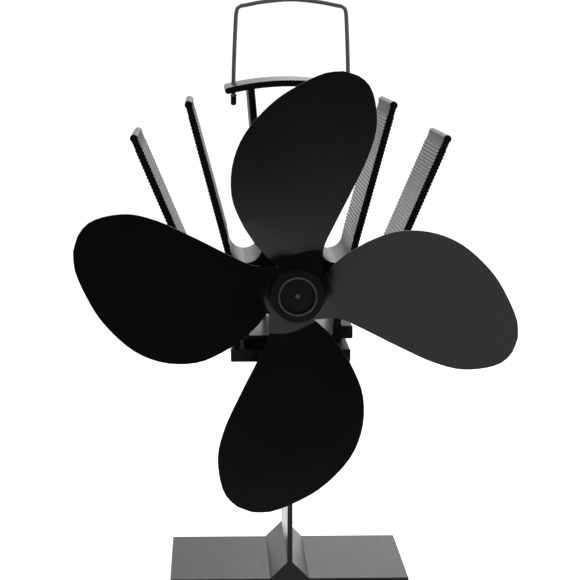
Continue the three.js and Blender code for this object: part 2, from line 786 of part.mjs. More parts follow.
function fanSheet() {
  const positions = [];
  const triangles = [];
  const add = (x, forward, z) => positions.push(motorX + x, bladePlane - forward, motorZ + z) / 3 - 1;
  const corner = (turn, u, w, side) => {
    const angle = radians(restTurn) + turn * half(Math.PI);
    const [c, s] = [Math.cos(angle), Math.sin(angle)];
    return add(u * c + w * s, rise(u, w) + side * half(sheetThickness), u * s - w * c);
  };
  const face = (side, a, b, c) => triangles.push(...(side > 0 ? [a, c, b] : [a, b, c]));
  const rows = quarterRows();
  const edgeShares = Array.from({ length: edgeSteps }, (_, i) => (
    THREE.MathUtils.lerp(rootShare, 1, (i + 1) / edgeSteps)));
  const trailing = edgeShares.map((along) => bladePoint(along, 1));
  const leading = edgeShares.slice(0, -1).map((along) => bladePoint(along, 0)).reverse();
  const rim = [...rows.at(-1), ...trailing, ...leading];
  const flat = THREE.ShapeUtils.triangulateShape(rim.map(([u, w]) => new THREE.Vector2(u, w)), []);
  const width = bladeColumns + 1;
  const lastRow = (rows.length - 1) * width;
  const quarter = lastRow + rim.length;
  for (const side of [1, -1]) {
    for (let turn = 0; turn < 4; turn += 1) {
      const first = positions.length / 3;
      for (const point of [...rows.slice(0, -1).flat(), ...rim]) corner(turn, ...point, side);
      for (let row = 0; row < rows.length - 1; row += 1) {
        for (let column = 0; column < bladeColumns; column += 1) {
          const a = first + row * width + column;
          face(side, a, a + 1, a + width + 1);
          face(side, a, a + width + 1, a + width);
        }
      }
      for (const triangle of flat) face(side, ...triangle.map((index) => first + lastRow + index));
    }
  }
  const count = 4 * quarter;
  const wall = (a, b) => triangles.push(a, b, b + count, a, b + count, a + count);
  for (let turn = 0; turn < 4; turn += 1) {
    const start = turn * quarter;
    for (let column = 0; column < bladeColumns; column += 1) wall(start + column, start + column + 1);
    for (let row = 2; row < rows.length - 1; row += 1) {
      wall(start + (row + 1) * width, start + row * width);
      wall(start + row * width + bladeColumns, start + (row + 1) * width + bladeColumns);
    }
    for (let i = bladeColumns; i < rim.length; i += 1) {
      wall(start + lastRow + i, start + lastRow + (i + 1) % rim.length);
    }
  }
  const geometry = new THREE.BufferGeometry();
  geometry.setAttribute('position', new THREE.BufferAttribute(new Float32Array(positions), 3));
  geometry.setIndex(triangles);
  return closed(geometry);
}

// The hub: a boss in front of the dome, with a bead round its recess, and a collar behind it
const domeTop = bladePlane - domeHeight;

function hubBoss() {
  const back = domeTop - half(sheetThickness);
  const bore = shaftRadius + slipGap;
  const shoulder = bossRadius - bossShoulder;
  return turnedOnMotor([
    [bore, boreFloor], [bossRecessRadius, boreFloor],
    ...beadShares.map(([across, up]) => (
      [bossRecessRadius + across * bossBeadWidth, bossFront - up * bossBeadHeight])),
    ...arc(shoulder, bossFront + bossShoulder, bossShoulder, -90, 0).map(({ x, y }) => [x, y]),
    [bossRadius, back], [bore, back], [bore, boreFloor],
  ], fineTurn);
}

function hubCollar() {
  const front = domeTop + half(sheetThickness);
  const bore = shaftRadius + slipGap;
  const neck = bore + hubBoreWall;
  return turnedOnMotor([
    [bore, front], [collarRadius, front], [collarRadius, front + collarLength * collarRimShare],
    [neck, front + collarLength * collarTaperShare], [neck, front + collarLength],
    [bore, front + collarLength], [bore, front],
  ]);
}

place('fan_blades', fanSheet(), blackSheet());
place('fan_hub', hubBoss(), blackPlastic());
place('fan_hub_collar', hubCollar(), blackPlastic());

// The carry handle: one bent wire whose feet slide in the top plate

const plateUnder = archZ(handleLegX(1, handleReach + ferruleRadius), archRadius - archThickness);
const ferruleTop = plateUnder - handlePlay;
const stopTop = ferruleTop - ferruleThickness;
const wireEnd = stopTop - stopGrip;

function handlePath() {
  const shoulder = handleTop - handleCrown - handleCorner;
  const narrow = handleReach - handleLean;
  const points = [
    [handleReach, wireEnd],
    [handleReach, archTop],
    [narrow, shoulder],
    ...cornerShares.map(([inward, up]) => [narrow - inward * handleCorner, shoulder + up * handleCorner]),
    [half(handleReach), handleTop - handleCrown * crownShare],
  ];
  const right = points.map(([x, z]) => new THREE.Vector3(handleLegX(1, x), middleY, z));
  const left = points.map(([x, z]) => new THREE.Vector3(handleLegX(-1, x), middleY, z)).reverse();
  return [...right, new THREE.Vector3(handleMiddle, middleY, handleTop), ...left];
}

function tube(points, radius, steps, sides) {
  const path = new THREE.CatmullRomCurve3(points, false, 'centripetal');
  const section = new THREE.Shape(circle(0, 0, radius, sides));
  return new THREE.ExtrudeGeometry(section, { steps, extrudePath: path, bevelEnabled: false });
}

place('carry_handle', tube(handlePath(), wireRadius, handleSteps, wireSides), blackSteel());

// A slim rubber tip that grips each end of the wire
function handleStop(sign) {
  const bore = wireRadius + half(slipGap);
  const [low, floor] = [stopTop - stopLength, wireEnd - half(slipGap)];
  return turnedUpright(handleLegX(sign, handleReach), middleY, [
    [0, low], [stopRadius - edgeRound, low], [stopRadius, low + edgeRound], [stopRadius, stopTop],
    [bore, stopTop], [bore, floor], [0, floor],
  ]);
}

// A bright ring on top of each tip, which meets the top plate when the handle is pulled up
function handleFerrule(sign) {
  const ring = ringProfile(wireRadius + half(slipGap), ferruleRadius, stopTop, ferruleTop);
  return turnedUpright(handleLegX(sign, handleReach), middleY, ring);
}

for (const [side, sign] of [['left', -1], ['right', 1]]) {
  place(`handle_stop_${side}`, handleStop(sign), rubberBlack());
  place(`handle_ferrule_${side}`, handleFerrule(sign), brightSteel());
}

// The clamp: on each side a screw from below, an insulating bush in the hot plate, and a spring washer

const clampSeat = hotPlateTop - hotPlateThickness;

function clampInsulator(x) {
  const bore = clampShank + slipGap;
  const flange = clampHead;
  return turnedUpright(x, middleY, [
    [bore, clampSeat - insulatorFlange], [flange, clampSeat - insulatorFlange], [flange, clampSeat],
    [insulatorSleeve, clampSeat], [insulatorSleeve, hotPlateTop], [bore, hotPlateTop],
    [bore, clampSeat - insulatorFlange],
  ]);
}

function clampWasher(x) {
  const top = clampSeat - insulatorFlange;
  const [inner, outer] = [clampShank + slipGap, clampHead];
  return turnedUpright(x, middleY, [
    [inner, top - springWasher], [outer, top - springWasher + springDish], [outer, top], [inner, top],
    [inner, top - springWasher],
  ]);
}

function clampScrew(x) {
  const under = clampSeat - insulatorFlange - springWasher;
  const low = under - clampHeadHeight;
  const screw = turnedUpright(x, middleY, [
    [0, low], [clampHead - edgeRound, low], [clampHead, low + edgeRound], [clampHead, under],
    [clampShank, under], [clampShank, sinkFloor + clampBite], [0, sinkFloor + clampBite],
  ]);
  const slot = box(x - clampHead - cutOver, x + clampHead + cutOver, middleY - half(clampSlot),
    middleY + half(clampSlot), low - cutOver, low + clampSlotDepth);
  return cut(screw, [slot]);
}

clampSides((side, x) => {
  place(`clamp_insulator_${side}`, clampInsulator(x), fibreBrown());
  place(`clamp_spring_washer_${side}`, clampWasher(x), brightSteel());
  place(`clamp_screw_${side}`, clampScrew(x), blackSteel());
});

// The module's leads, held from the module's rear edge up to the motor's two tags. The route's points are
// shares of the way across from the module's edge to the tag, back from it, and up to the tag.
const leadShares = [
  [0, 0, 0], [0, 0.27, 0], [0, 0.62, 0.02], [0, 0.86, 0.08], [0, 1, 0.22], [0, 1, 0.5], [0, 0.95, 0.74],
  [0.1, 0.7, 0.94],
];

function leadRoute(sign) {
  const start = middleY + half(moduleSide) + fitGap;
  const level = pelletFloor + half(pelletHeight);
  const edge = sign * leadSpread;
  const tagX = motorX + sign * terminalOffset;
  const tagBack = motorBack + terminalReach + fitGap;
  const back = leadBack - start;
  const rise = motorZ - level;
  const route = leadShares.map(([across, behind, above]) => (
    [THREE.MathUtils.lerp(edge, tagX, across), start + behind * back, level + above * rise]));
  route.push([tagX, tagBack + leadLanding, motorZ], [tagX, tagBack + half(leadLanding), motorZ]);
  route.push([tagX, tagBack, motorZ]);
  return route.map(([x, y, z]) => new THREE.Vector3(x, y, z));
}

place('lead_red', tube(leadRoute(-1), leadRadius, leadSteps, leadSides), leadRed());
place('lead_black', tube(leadRoute(1), leadRadius, leadSteps, leadSides), leadBlack());

export default fan;
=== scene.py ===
"""Looks of a heat-powered stove fan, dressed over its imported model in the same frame, in metres."""

import logging
import math
from collections.abc import Callable, Iterable, Sequence
from dataclasses import dataclass, field
from enum import Enum

import bmesh
import bpy
from mathutils import Matrix, Vector


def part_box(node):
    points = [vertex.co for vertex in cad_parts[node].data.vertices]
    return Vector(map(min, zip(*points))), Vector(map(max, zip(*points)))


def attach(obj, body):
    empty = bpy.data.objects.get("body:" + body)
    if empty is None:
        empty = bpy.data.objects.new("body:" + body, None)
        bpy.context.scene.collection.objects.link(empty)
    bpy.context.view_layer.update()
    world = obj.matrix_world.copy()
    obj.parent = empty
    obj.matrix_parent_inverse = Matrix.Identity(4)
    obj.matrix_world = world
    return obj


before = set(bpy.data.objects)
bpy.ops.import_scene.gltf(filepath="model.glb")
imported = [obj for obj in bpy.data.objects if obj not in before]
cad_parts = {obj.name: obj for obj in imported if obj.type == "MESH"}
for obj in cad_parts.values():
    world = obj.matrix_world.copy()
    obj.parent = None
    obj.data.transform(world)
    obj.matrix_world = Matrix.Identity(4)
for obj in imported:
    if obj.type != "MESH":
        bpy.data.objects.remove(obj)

LOG = logging.getLogger("stove_fan")
MM = 0.001
# Degrees: edges below the first are shaded smooth, edges above the second are rounded, and faces within the
# third are one flat face
SMOOTH_BELOW = 32.0
SHARP_ABOVE = 50.0
FLAT_WITHIN = 0.5
# How many faces go across a rounded edge, and how much a large face leads the normals beside it
ROUNDING_SEGMENTS = 2
EVEN_WEIGHT = 60
# Metres within which points are one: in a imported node, and at the seam of a closed loop
WELD_REACH = 0.000002
SEAM_REACH = 0.000001
# Dust's colour and what it adds to the roughness
DUST_GREY = (0.16, 0.155, 0.15)
DUST_ROUGHNESS = 0.3
# A scratch is the colour times the first, plus the second
SCRATCH_GAIN = 2.2
SCRATCH_LIFT = 0.012
# A coat's roughness as a share of what it covers
COAT_ROUGHNESS_SHARE = 0.6
# The range of a grain's tone over which the roughness grows
TONE_RANGE = (0.25, 0.75)

Colour = tuple[float, float, float]
Point = tuple[float, float, float]


def grey(level: float, warmth: float = 0.0) -> Colour:
    """A grey of a linear level, warmer above zero and cooler below it.

    Args:
        level: Linear reflectance.
        warmth: Share by which red gains and blue loses.

    Returns:
        The colour as linear red, green and blue.
    """
    return (level * (1 + warmth), level, level * (1 - warmth))


class Board:
    """A node tree with short ways to add nodes and join their sockets."""

    def __init__(self, tree: bpy.types.NodeTree) -> None:
        """Keeps the tree to draw on.

        Args:
            tree: The node tree.
        """
        self.tree = tree

    def add(self, kind: str, **settings: object) -> bpy.types.Node:
        """Adds a node.

        Args:
            kind: Blender's name for the node's type.
            **settings: Attributes of the node to set.

        Returns:
            The new node.
        """
        node = self.tree.nodes.new(kind)
        for name, value in settings.items():
            setattr(node, name, value)
        return node

    def join(self, source: bpy.types.NodeSocket, target: bpy.types.NodeSocket) -> None:
        """Joins an output to an input.

        Args:
            source: The output.
            target: The input.
        """
        self.tree.links.new(source, target)

    def value(self, target: bpy.types.NodeSocket, source: object) -> None:
        """Joins a socket to a target, or sets a plain number or vector on it.

        Args:
            target: The input.
            source: Socket, number or vector.
        """
        if isinstance(source, bpy.types.NodeSocket):
            self.join(source, target)
        else:
            target.default_value = source

    def maths(self, operation: str, first: object, second: object = 0.0,
              clamp: bool = False) -> bpy.types.NodeSocket:
        """A sum on one or two values.

        Args:
            operation: Blender's name for the operation.
            first: Socket or number.
            second: Socket or number.
            clamp: Whether the result is kept from 0 to 1.

        Returns:
            The result's socket.
        """
        node = self.add("ShaderNodeMath", operation=operation, use_clamp=clamp)
        self.value(node.inputs[0], first)
        self.value(node.inputs[1], second)
        return node.outputs[0]

    def mixed(self, first: bpy.types.NodeSocket, second: bpy.types.NodeSocket,
              share: float) -> bpy.types.NodeSocket:
        """Two values added in shares.

        Args:
            first: Socket of the value that takes the rest.
            second: Socket of the value that takes the share.
            share: The second value's share.

        Returns:
            The sum's socket.
        """
        rest = self.maths("MULTIPLY", first, 1 - share)
        return self.maths("ADD", rest, self.maths("MULTIPLY", second, share))

    def span(self, source: bpy.types.NodeSocket, low: float, high: float, to_low: object = 0.0,
             to_high: object = 1.0) -> bpy.types.NodeSocket:
        """Spreads a range of values over another one, clamped.

        Args:
            source: The values.
            low: Value that becomes to_low.
            high: Value that becomes to_high.
            to_low: Socket or number.
            to_high: Socket or number.

        Returns:
            The result's socket.
        """
        node = self.add("ShaderNodeMapRange", clamp=True)
        self.join(source, node.inputs["Value"])
        for name, item in (("From Min", low), ("From Max", high), ("To Min", to_low), ("To Max", to_high)):
            self.value(node.inputs[name], item)
        return node.outputs["Result"]

    def stretched(self, place: bpy.types.NodeSocket, scale: Point) -> bpy.types.NodeSocket:
        """A place with each of its axes scaled.

        Args:
            place: Socket of the place.
            scale: Scale on each axis.

        Returns:
            The scaled place's socket.
        """
        node = self.add("ShaderNodeMapping")
        self.join(place, node.inputs["Vector"])
        node.inputs["Scale"].default_value = scale
        return node.outputs["Vector"]

    def noise(self, place: bpy.types.NodeSocket, scale: object, detail: float = 3.0,
              roughness: float = 0.55) -> bpy.types.NodeSocket:
        """Cloudy noise.

        Args:
            place: Socket of the place.
            scale: Socket or number, per metre.
            detail: Octaves.
            roughness: Share that each octave keeps.

        Returns:
            The noise value's socket.
        """
        node = self.add("ShaderNodeTexNoise")
        self.join(place, node.inputs["Vector"])
        self.value(node.inputs["Scale"], scale)
        node.inputs["Detail"].default_value = detail
        node.inputs["Roughness"].default_value = roughness
        return node.outputs["Fac"]


class Grain(Enum):
    """The surface texture that a finish carries."""

    DIE_LINES = "Die lines"
    PAINT = "Paint peel"
    MOULDED = "Moulded pebble"
    DRAWN = "Drawn streaks"
    TURNED = "Turned rings"
    WOUND = "Wound wire, painted shade"
    STACKED = "Stacked sheets"
    SPECKLED = "Speckle"


def new_group(name: str, inputs: Iterable[tuple[str, str, float]], outputs: Iterable[str]) -> tuple[
        Board, bpy.types.Node, bpy.types.Node]:
    """An empty shader node group with named sockets.

    Args:
        name: The group's name.
        inputs: Name, socket type and default of each input.
        outputs: Name of each value that it puts out.

    Returns:
        The board to draw on, the input node and the output node.
    """
    tree = bpy.data.node_groups.new(name, "ShaderNodeTree")
    for label, kind, default in inputs:
        socket = tree.interface.new_socket(label, in_out="INPUT", socket_type=kind)
        if kind == "NodeSocketFloat":
            socket.default_value = default
    for label in outputs:
        tree.interface.new_socket(label, in_out="OUTPUT", socket_type="NodeSocketFloat")
    board = Board(tree)
    return board, board.add("NodeGroupInput"), board.add("NodeGroupOutput")


GRAIN_INPUTS = (("Place", "NodeSocketVector", 0.0), ("Scale", "NodeSocketFloat", 1.0))
DUST_GROUP = "Settled dust"
SCRATCH_GROUP = "Fine scratches"


def die_lines() -> bpy.types.NodeTree:
    """Fine lines along Y, as an extrusion's die leaves them, with broader bands among them.

    Returns:
        The group, which puts out Height and Tone.
    """
    board, given, out = new_group(Grain.DIE_LINES.value, GRAIN_INPUTS, ("Height", "Tone"))
    place, scale = given.outputs["Place"], given.outputs["Scale"]
    fine = board.noise(board.stretched(place, (1.0, 0.012, 1.0)), scale, detail=5.0, roughness=0.7)
    broad = board.noise(board.stretched(place, (0.11, 0.004, 0.11)), scale, detail=2.0)
    cloud = board.noise(place, 55.0, detail=4.0)
    board.join(board.mixed(fine, broad, 0.25), out.inputs["Height"])
    board.join(board.mixed(broad, cloud, 0.45), out.inputs["Tone"])
    return board.tree


def paint_peel() -> bpy.types.NodeTree:
    """The soft waves of sprayed paint with a few specks of dust caught in it.

    Returns:
        The group, which puts out Height and Tone.
    """
    board, given, out = new_group(Grain.PAINT.value, GRAIN_INPUTS, ("Height", "Tone"))
    waves = board.noise(given.outputs["Place"], given.outputs["Scale"], detail=2.0, roughness=0.4)
    specks = board.add("ShaderNodeTexVoronoi", feature="F1")
    board.join(given.outputs["Place"], specks.inputs["Vector"])
    specks.inputs["Scale"].default_value = 420.0
    dots = board.span(specks.outputs["Distance"], low=0.05, high=0.11, to_low=1.0, to_high=0.0)
    board.join(board.maths("ADD", waves, board.maths("MULTIPLY", dots, 0.5)), out.inputs["Height"])
    board.join(board.noise(given.outputs["Place"], 38.0, detail=4.0), out.inputs["Tone"])
    return board.tree


def moulded_pebble() -> bpy.types.NodeTree:
    """The fine pebble of a spark-eroded mould.

    Returns:
        The group, which puts out Height and Tone.
    """
    board, given, out = new_group(Grain.MOULDED.value, GRAIN_INPUTS, ("Height", "Tone"))
    cells = board.add("ShaderNodeTexVoronoi", feature="SMOOTH_F1")
    board.join(given.outputs["Place"], cells.inputs["Vector"])
    board.join(given.outputs["Scale"], cells.inputs["Scale"])
    cells.inputs["Smoothness"].default_value = 0.6
    board.join(cells.outputs["Distance"], out.inputs["Height"])
    board.join(board.noise(given.outputs["Place"], 90.0), out.inputs["Tone"])
    return board.tree


def drawn_streaks() -> bpy.types.NodeTree:
    """Streaks along an upright drawn wire or pin, with faint wear bands across.

    Returns:
        The group, which puts out Height and Tone.
    """
    board, given, out = new_group(Grain.DRAWN.value, GRAIN_INPUTS, ("Height", "Tone"))
    along = board.stretched(given.outputs["Place"], (1.0, 1.0, 0.03))
    streaks = board.noise(along, given.outputs["Scale"], detail=4.0)
    bands = board.noise(given.outputs["Place"], 260.0, detail=2.0)
    board.join(board.mixed(streaks, bands, 0.4), out.inputs["Height"])
    board.join(bands, out.inputs["Tone"])
    return board.tree


def turned_rings() -> bpy.types.NodeTree:
    """Fine rings round an axis along Y, as a lathe or a press leaves them.

    Returns:
        The group, which puts out Height and Tone.
    """
    board, given, out = new_group(Grain.TURNED.value, GRAIN_INPUTS, ("Height", "Tone"))
    drawn_out = board.stretched(given.outputs["Place"], (0.02, 1.0, 0.02))
    rings = board.noise(drawn_out, given.outputs["Scale"], detail=4.0)
    cloud = board.noise(given.outputs["Place"], 120.0)
    board.join(rings, out.inputs["Height"])
    board.join(board.mixed(rings, cloud, 0.6), out.inputs["Tone"])
    return board.tree


def wire_turns_painted_shade() -> bpy.types.NodeTree:
    """Round turns of wire, laid side by side across X, darker in the grooves between turns as painted shade
    and lighter on the crests as painted highlight, with some tone at random.

    Returns:
        The group, which puts out Height and Tone.
    """
    board, given, out = new_group(Grain.WOUND.value, GRAIN_INPUTS, ("Height", "Tone"))
    bands = board.add("ShaderNodeTexWave", wave_type="BANDS", bands_direction="X", wave_profile="SIN")
    board.join(given.outputs["Place"], bands.inputs["Vector"])
    board.join(given.outputs["Scale"], bands.inputs["Scale"])
    bands.inputs["Distortion"].default_value = 0.6
    board.join(bands.outputs["Fac"], out.inputs["Height"])
    cloud = board.noise(given.outputs["Place"], 300.0)
    # Tone follows the turns' height: painted shade in the grooves and painted highlight on the crests, varied
    # by a random cloud
    board.join(board.maths("MULTIPLY", bands.outputs["Fac"], cloud), out.inputs["Tone"])
    return board.tree


def stacked_sheets() -> bpy.types.NodeTree:
    """Thin sheets stacked along Y, with dark varnish between them.

    Returns:
        The group, which puts out Height and Tone.
    """
    board, given, out = new_group(Grain.STACKED.value, GRAIN_INPUTS, ("Height", "Tone"))
    bands = board.add("ShaderNodeTexWave", wave_type="BANDS", bands_direction="Y", wave_profile="TRI")
    board.join(given.outputs["Place"], bands.inputs["Vector"])
    board.join(given.outputs["Scale"], bands.inputs["Scale"])
    board.join(board.span(bands.outputs["Fac"], low=0.0, high=0.25), out.inputs["Height"])
    board.join(board.span(bands.outputs["Fac"], low=0.0, high=0.4), out.inputs["Tone"])
    return board.tree


def speckle() -> bpy.types.NodeTree:
    """Small flecks and pores, as in pressed fibre, ceramic or graphite.

    Returns:
        The group, which puts out Height and Tone.
    """
    board, given, out = new_group(Grain.SPECKLED.value, GRAIN_INPUTS, ("Height", "Tone"))
    pores = board.noise(given.outputs["Place"], given.outputs["Scale"], detail=6.0, roughness=0.75)
    board.join(pores, out.inputs["Height"])
    board.join(board.span(pores, low=0.35, high=0.65), out.inputs["Tone"])
    return board.tree


def settled_dust() -> bpy.types.NodeTree:
    """Where dust lies: on faces that look up, in clouds.

    Returns:
        The group, which puts out Mask.
    """
    board, given, out = new_group(DUST_GROUP, (
        ("Place", "NodeSocketVector", 0.0), ("Facing", "NodeSocketVector", 0.0),
        ("Amount", "NodeSocketFloat", 0.1)), ("Mask",))
    split = board.add("ShaderNodeSeparateXYZ")
    board.join(given.outputs["Facing"], split.inputs[0])
    upward = board.span(split.outputs["Z"], low=0.35, high=0.95)
    noise = board.noise(given.outputs["Place"], 140.0, detail=6.0, roughness=0.7)
    clouds = board.span(noise, low=0.38, high=0.72)
    board.join(board.maths("MULTIPLY", board.maths("MULTIPLY", upward, clouds), given.outputs["Amount"]),
               out.inputs["Mask"])
    return board.tree


def fine_scratches() -> bpy.types.NodeTree:
    """Sparse short scratches from handling.

    Returns:
        The group, which puts out Mask.
    """
    board, given, out = new_group(SCRATCH_GROUP, (
        ("Place", "NodeSocketVector", 0.0), ("Amount", "NodeSocketFloat", 0.1)), ("Mask",))
    masks = []
    for scale in ((1.0, 0.06, 0.9), (0.07, 0.8, 1.0)):
        lines = board.noise(board.stretched(given.outputs["Place"], scale), 900.0, detail=2.0, roughness=0.5)
        masks.append(board.span(lines, low=0.70, high=0.74))
    patches = board.span(board.noise(given.outputs["Place"], 30.0, detail=2.0), low=0.5, high=0.62)
    both = board.maths("MAXIMUM", masks[0], masks[1])
    board.join(board.maths("MULTIPLY", board.maths("MULTIPLY", both, patches), given.outputs["Amount"]),
               out.inputs["Mask"])
    return board.tree


GRAIN_MAKERS: dict[Grain, Callable[[], bpy.types.NodeTree]] = {
    Grain.DIE_LINES: die_lines, Grain.PAINT: paint_peel, Grain.MOULDED: moulded_pebble,
    Grain.DRAWN: drawn_streaks, Grain.TURNED: turned_rings, Grain.WOUND: wire_turns_painted_shade,
    Grain.STACKED: stacked_sheets, Grain.SPECKLED: speckle,
}


class Groups:
    """The shared shader groups, each built once, when a finish first asks for it."""

    made: dict[str, bpy.types.NodeTree] = {}

    @classmethod
    def get(cls, name: str, maker: Callable[[], bpy.types.NodeTree]) -> bpy.types.NodeTree:
        """The group of a name.

        Args:
            name: The name that it is kept under.
            maker: What builds it.

        Returns:
            The node group.
        """
        if name not in cls.made:
            cls.made[name] = maker()
        return cls.made[name]


@dataclass(frozen=True)
class Finish:
    """One material's look.

    Attributes:
        name: Material name.
        colour: Linear base colour.
        second: Linear colour that the grain's tone leads to.
        roughness: Roughness where the tone is low.
        slot: Name of its material class; not used.
        roughness_gain: What the tone adds to the roughness.
        metallic: Share of metal.
        specular: Specular level of the shader.
        grain: The surface texture.
        grain_scale: Scale of the texture, per metre.
        grain_depth: Height of the texture, in metres.
        dust: Share of dust on faces that look up.
        scratches: Share of scratches.
        coat: Weight of a clear coat.
    """

    name: str
    colour: Colour
    second: Colour
    roughness: float
    slot: str
    roughness_gain: float = 0.08
    metallic: float = 0.0
    specular: float = 0.5
    grain: Grain = Grain.PAINT
    grain_scale: float = 900.0
    grain_depth: float = 0.00002
    dust: float = 0.0
    scratches: float = 0.0
    coat: float = 0.0

    def material(self) -> bpy.types.Material:
        """Builds the material.

        Returns:
            The node material.
        """
        made = bpy.data.materials.new(self.name)
        made.use_nodes = True
        board = Board(made.node_tree)
        board.tree.nodes.clear()
        shader = board.add("ShaderNodeBsdfPrincipled")
        board.join(shader.outputs["BSDF"], board.add("ShaderNodeOutputMaterial").inputs["Surface"])
        place = board.add("ShaderNodeTexCoord").outputs["Object"]
        texture = board.add("ShaderNodeGroup")
        texture.node_tree = Groups.get(self.grain.value, GRAIN_MAKERS[self.grain])
        board.join(place, texture.inputs["Place"])
        texture.inputs["Scale"].default_value = self.grain_scale
        colour = self.blend(board, texture.outputs["Tone"], self.colour, self.second)
        colour = self.marked(board, place, colour, shader, texture.outputs["Tone"])
        board.join(colour, shader.inputs["Base Color"])
        bump = board.add("ShaderNodeBump")
        bump.inputs["Strength"].default_value = 1.0
        bump.inputs["Distance"].default_value = self.grain_depth
        board.join(texture.outputs["Height"], bump.inputs["Height"])
        board.join(bump.outputs["Normal"], shader.inputs["Normal"])
        shader.inputs["Metallic"].default_value = self.metallic
        shader.inputs["Specular IOR Level"].default_value = self.specular
        shader.inputs["Coat Weight"].default_value = self.coat
        shader.inputs["Coat Roughness"].default_value = self.roughness * COAT_ROUGHNESS_SHARE
        return made

    def marked(self, board: Board, place: bpy.types.NodeSocket, colour: bpy.types.NodeSocket,
               shader: bpy.types.Node, tone: bpy.types.NodeSocket) -> bpy.types.NodeSocket:
        """Adds scratches and dust to the colour, and joins the roughness.

        Args:
            board: The material's board.
            place: Socket of the place.
            colour: Socket of the colour so far.
            shader: The material's shader.
            tone: Socket of the grain's tone.

        Returns:
            The colour's socket.
        """
        rough = board.span(tone, *TONE_RANGE, self.roughness, self.roughness + self.roughness_gain)
        if self.scratches:
            worn = board.add("ShaderNodeGroup")
            worn.node_tree = Groups.get(SCRATCH_GROUP, fine_scratches)
            board.join(place, worn.inputs["Place"])
            worn.inputs["Amount"].default_value = self.scratches
            lighter = tuple(min(1.0, part * SCRATCH_GAIN + SCRATCH_LIFT) for part in self.colour)
            colour = self.blend(board, worn.outputs["Mask"], colour, lighter)
        if self.dust:
            dusty = board.add("ShaderNodeGroup")
            dusty.node_tree = Groups.get(DUST_GROUP, settled_dust)
            board.join(place, dusty.inputs["Place"])
            board.join(board.add("ShaderNodeNewGeometry").outputs["Normal"], dusty.inputs["Facing"])
            dusty.inputs["Amount"].default_value = self.dust
            colour = self.blend(board, dusty.outputs["Mask"], colour, DUST_GREY)
            rougher = board.maths("MULTIPLY", dusty.outputs["Mask"], DUST_ROUGHNESS)
            rough = board.maths("ADD", rough, rougher, clamp=True)
        board.join(rough, shader.inputs["Roughness"])
        return colour

    @staticmethod
    def blend(board: Board, share: bpy.types.NodeSocket, first: object,
              second: object) -> bpy.types.NodeSocket:
        """Mixes two colours.

        Args:
            board: The material's board.
            share: Socket of the second colour's share.
            first: Socket or colour.
            second: Socket or colour.

        Returns:
            The mixed colour's socket.
        """
        mix = board.add("ShaderNodeMix", data_type="RGBA")
        board.join(share, mix.inputs["Factor"])
        for name, item in (("A", first), ("B", second)):
            socket = next(s for s in mix.inputs if s.name == name and s.type == "RGBA")
            board.value(socket, item if isinstance(item, bpy.types.NodeSocket) else (*item, 1.0))
        return next(s for s in mix.outputs if s.type == "RGBA")


BLACK_EXTRUSION = Finish("Black anodised extrusion", grey(0.003), grey(0.006), 0.26, "black_aluminium",
                         roughness_gain=0.05, specular=0.42, grain=Grain.DIE_LINES, grain_scale=5200.0,
                         grain_depth=0.0000018, dust=0.06, scratches=0.12)
BLACK_BLADE = Finish("Black blade paint", grey(0.002), grey(0.0035, -0.02), 0.24, "black_sheet",
                     roughness_gain=0.04, grain=Grain.PAINT, grain_scale=420.0, grain_depth=0.000002,
                     dust=0.03)
BLACK_MOULDING = Finish("Black moulding", grey(0.002, -0.04), grey(0.0035, -0.04), 0.3, "black_plastic",
                        grain=Grain.MOULDED, grain_scale=5200.0, grain_depth=0.000006, dust=0.05)
# Painted highlight: the bead's skin is far lighter than the black moulding under it, and its gloss is the
# polished mould's
BEAD_GLOSS_AND_PAINTED_HIGHLIGHT = Finish("Polished bead, painted highlight", grey(0.03), grey(0.05), 0.16, "black_plastic", specular=0.8,
                       grain=Grain.TURNED, grain_scale=5200.0, grain_depth=0.000003, scratches=0.2)
BLACK_WIRE = Finish("Black wire", grey(0.135), grey(0.18, 0.02), 0.32, "black_steel", metallic=0.3,
                    grain=Grain.DRAWN, grain_scale=2600.0, grain_depth=0.00001)
BRIGHT_RING = Finish("Satin plated ring", grey(0.34), grey(0.46), 0.36, "bright_steel", metallic=0.35,
                     grain=Grain.TURNED, grain_scale=5200.0, grain_depth=0.000006)
BLACK_SCREW = Finish("Blackened screw", grey(0.02), grey(0.04), 0.38, "black_steel", metallic=0.6,
                     grain=Grain.DRAWN, grain_scale=3000.0, grain_depth=0.00001)
BRIGHT_CAN = Finish("Plated motor can", grey(0.52), grey(0.62, 0.01), 0.22, "bright_steel", metallic=1.0,
                    grain=Grain.TURNED, grain_scale=5200.0, grain_depth=0.000006)
BRIGHT_PIN = Finish("Ground steel", grey(0.55), grey(0.68), 0.2, "bright_steel", metallic=1.0,
                    grain=Grain.TURNED, grain_scale=9000.0, grain_depth=0.000004)
WHITE_CERAMIC = Finish("White ceramic", grey(0.72, 0.03), grey(0.8, 0.02), 0.5, "white_ceramic",
                       grain=Grain.SPECKLED, grain_scale=2600.0, grain_depth=0.00001)
GRAPHITE_FOIL = Finish("Graphite foil", grey(0.03), grey(0.055), 0.45, "graphite", metallic=0.3,
                       grain=Grain.SPECKLED, grain_scale=2200.0, grain_depth=0.00001)
SOLDERED_PELLET = Finish("Soldered pellets", grey(0.3), grey(0.42, 0.02), 0.4, "bright_steel", metallic=0.9,
                         grain=Grain.SPECKLED, grain_scale=2400.0, grain_depth=0.00001)
EDGE_SEALANT = Finish("Edge sealant", grey(0.006), grey(0.011), 0.5, "black_rubber",
                      grain=Grain.MOULDED, grain_scale=2400.0, grain_depth=0.00002)
STOP_RUBBER = Finish("Stop rubber", grey(0.007), grey(0.012), 0.55, "black_rubber",
                     grain=Grain.MOULDED, grain_scale=4200.0, grain_depth=0.00001)
BRASS = Finish("Brass", (0.62, 0.42, 0.17), (0.72, 0.52, 0.24), 0.26, "brass", metallic=1.0,
               grain=Grain.TURNED, grain_scale=6000.0, grain_depth=0.000005)
FERRITE = Finish("Ferrite magnet", grey(0.055), grey(0.085), 0.6, "ferrite",
                 grain=Grain.SPECKLED, grain_scale=3000.0, grain_depth=0.00001)
